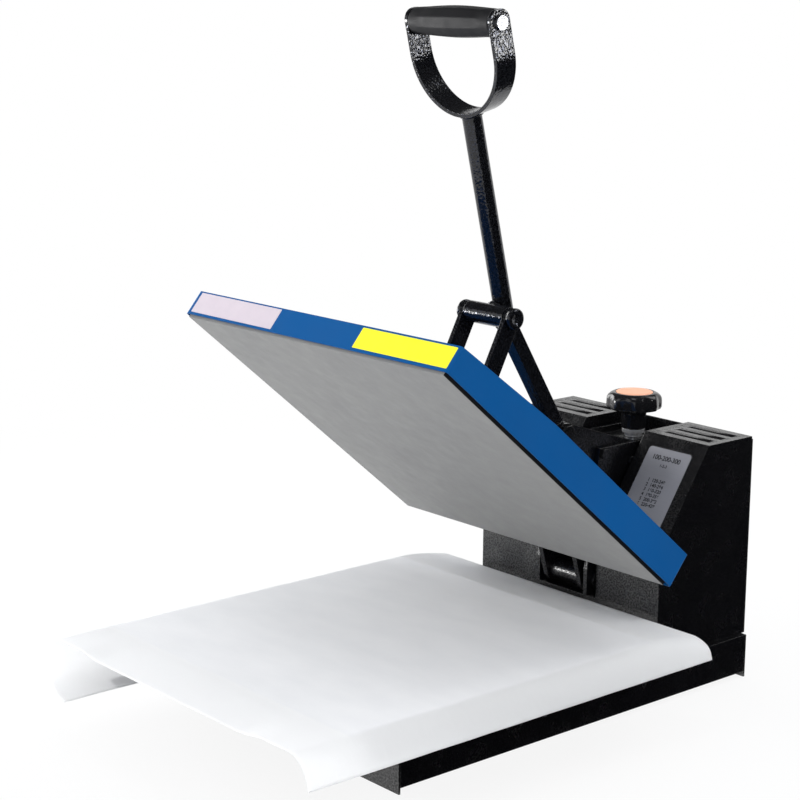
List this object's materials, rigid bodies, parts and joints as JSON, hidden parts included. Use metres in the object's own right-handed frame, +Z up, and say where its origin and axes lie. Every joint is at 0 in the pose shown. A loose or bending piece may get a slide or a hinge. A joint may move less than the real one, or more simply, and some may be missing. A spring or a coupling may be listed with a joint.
{
  "type": "sublimation heat press",
  "caption": "Clamshell heat press standing open: square heated plate under a sheet-metal cover on a toggle lever, padded bed, twin-tower base and pressure knob.",
  "frame": {"origin": "on the floor, on the plane of symmetry, in the middle of the hinge end's cross channel underside", "axes": "+X to the press's right as its user faces it, +Y to the back, +Z up"},
  "size_m": [0.4186, 0.6597, 0.7057],
  "materials": {
    "base_paint": "black fine-texture powder coat",
    "housing_paint": "black fine-texture powder coat",
    "frame_paint": "black powder coat on steel plate",
    "lower_plate_steel": "dark painted steel",
    "pad_silicone": "matte silicone foam",
    "sheet_white": "smooth coated glass cloth, white",
    "cover_blue": "blue gloss paint",
    "plate_aluminium": "bead-blasted",
    "board_mineral": "calcium silicate board",
    "zinc_steel": "zinc plated",
    "screw_chrome": "bright nickel",
    "element_steel": "heat-dulled stainless strip",
    "lever_hammer": "black hammertone with silver speckle",
    "grip_rubber": "black ribbed rubber",
    "knob_black": "black moulded",
    "cap_peach": "smooth plastic disc",
    "controller_black": "black moulded",
    "window_smoke": "smoked clear",
    "button_grey": "grey moulded",
    "rocker_red": "red moulded",
    "board_green": "circuit board",
    "relay_black": "moulded case"
  },
  "bodies": {
    "stand": {"bed_bearers": "base_paint", "bridge_panel": "housing_paint", "control_board": "board_green", "controller_case": "controller_black", "cross_channel": "base_paint", "display_window": "window_smoke", "front_crossbar": "base_paint", "guide_bolts": "frame_paint", "heater_relay": "relay_black", "hinge_pin": "frame_paint", "left_base_rail": "base_paint", "left_tower": "housing_paint", "left_upright": "frame_paint", "lower_plate": "lower_plate_steel", "mains_inlet": "controller_black", "protective_sheet": "sheet_white", "rear_crossbar": "base_paint", "rear_panel": "housing_paint", "rear_screws": "zinc_steel", "right_base_rail": "base_paint", "right_tower": "housing_paint", "right_upright": "frame_paint", "screw_anchor": "frame_paint", "silicone_pad": "pad_silicone", "switch_frame": "controller_black"},
    "beam": {"left_beam_plate": "frame_paint", "right_beam_plate": "frame_paint", "beam_bridge": "frame_paint", "pivot_pin": "frame_paint"},
    "knob": {"pressure_screw": "zinc_steel", "screw_nuts": "screw_chrome", "pressure_knob": "knob_black", "knob_cap": "cap_peach"},
    "lever": {"rear_arm": "lever_hammer", "knee_tube": "lever_hammer", "lever_tube": "lever_hammer", "handle_bow": "lever_hammer", "grip": "grip_rubber", "grip_bolt_rod": "zinc_steel"},
    "platen": {"heater_cover": "cover_blue", "heated_plate": "plate_aluminium", "insulation_board": "board_mineral", "plate_spacers": "zinc_steel", "saddle_bolts": "zinc_steel", "heating_element": "element_steel", "left_platen_arm": "frame_paint", "right_platen_arm": "frame_paint", "saddle_plate": "frame_paint", "hinge_tube": "frame_paint", "link_pin_rod": "zinc_steel"},
    "links": {"left_link": "lever_hammer", "right_link": "lever_hammer", "knee_bolts": "lever_hammer"},
    "rocker": {"power_rocker": "rocker_red"},
    "set_key": {"set_button": "button_grey"},
    "down_key": {"down_button": "button_grey"},
    "up_key": {"up_button": "button_grey"},
    "enter_key": {"enter_button": "button_grey"}
  },
  "joints": [
    {"name": "beam_lift", "type": "slide", "parent": "stand", "child": "beam", "axis": [0, 0, 1], "range_m": [-0.0035, 0.0035]},
    {"name": "knob_turn", "type": "hinge", "parent": "beam", "child": "knob", "pos_m": [0, 0.138, 0.27], "axis": [0, 0, 1], "range_deg": [-720, 720]},
    {"name": "lever_swing", "type": "hinge", "parent": "beam", "child": "lever", "pos_m": [0, 0.0015, 0.273], "axis": [1, 0, 0], "range_deg": [0, 85.34]},
    {"name": "platen_swing", "type": "hinge", "parent": "stand", "child": "platen", "pos_m": [0, 0.047, 0.109], "axis": [1, 0, 0], "range_deg": [0, 40.1]},
    {"name": "link_fold", "type": "hinge", "parent": "platen", "child": "links", "pos_m": [0, -0.12239, 0.31832], "axis": [1, 0, 0], "range_deg": [-75.39, 0]},
    {"name": "rocker_tilt", "type": "hinge", "parent": "stand", "child": "rocker", "pos_m": [-0.112, 0.1775, 0.09], "axis": [1, 0, 0], "range_deg": [-18, 0]},
    {"name": "set_press", "type": "slide", "parent": "stand", "child": "set_key", "axis": [0, 0.8271, -0.5621], "range_m": [0, 0.0008], "stiffness_N_per_m": 300},
    {"name": "down_press", "type": "slide", "parent": "stand", "child": "down_key", "axis": [0, 0.8271, -0.5621], "range_m": [0, 0.0008], "stiffness_N_per_m": 300},
    {"name": "up_press", "type": "slide", "parent": "stand", "child": "up_key", "axis": [0, 0.8271, -0.5621], "range_m": [0, 0.0008], "stiffness_N_per_m": 300},
    {"name": "enter_press", "type": "slide", "parent": "stand", "child": "enter_key", "axis": [0, 0.8271, -0.5621], "range_m": [0, 0.0008], "stiffness_N_per_m": 300}
  ],
  "couplings": [
    {"joint": "knob_turn", "follows": "beam_lift", "rad_per_m": 3590.4},
    {"joint": "platen_swing", "follows": "lever_swing", "ratio": 0.46988},
    {"joint": "link_fold", "follows": "lever_swing", "ratio": -0.88337}
  ]
}
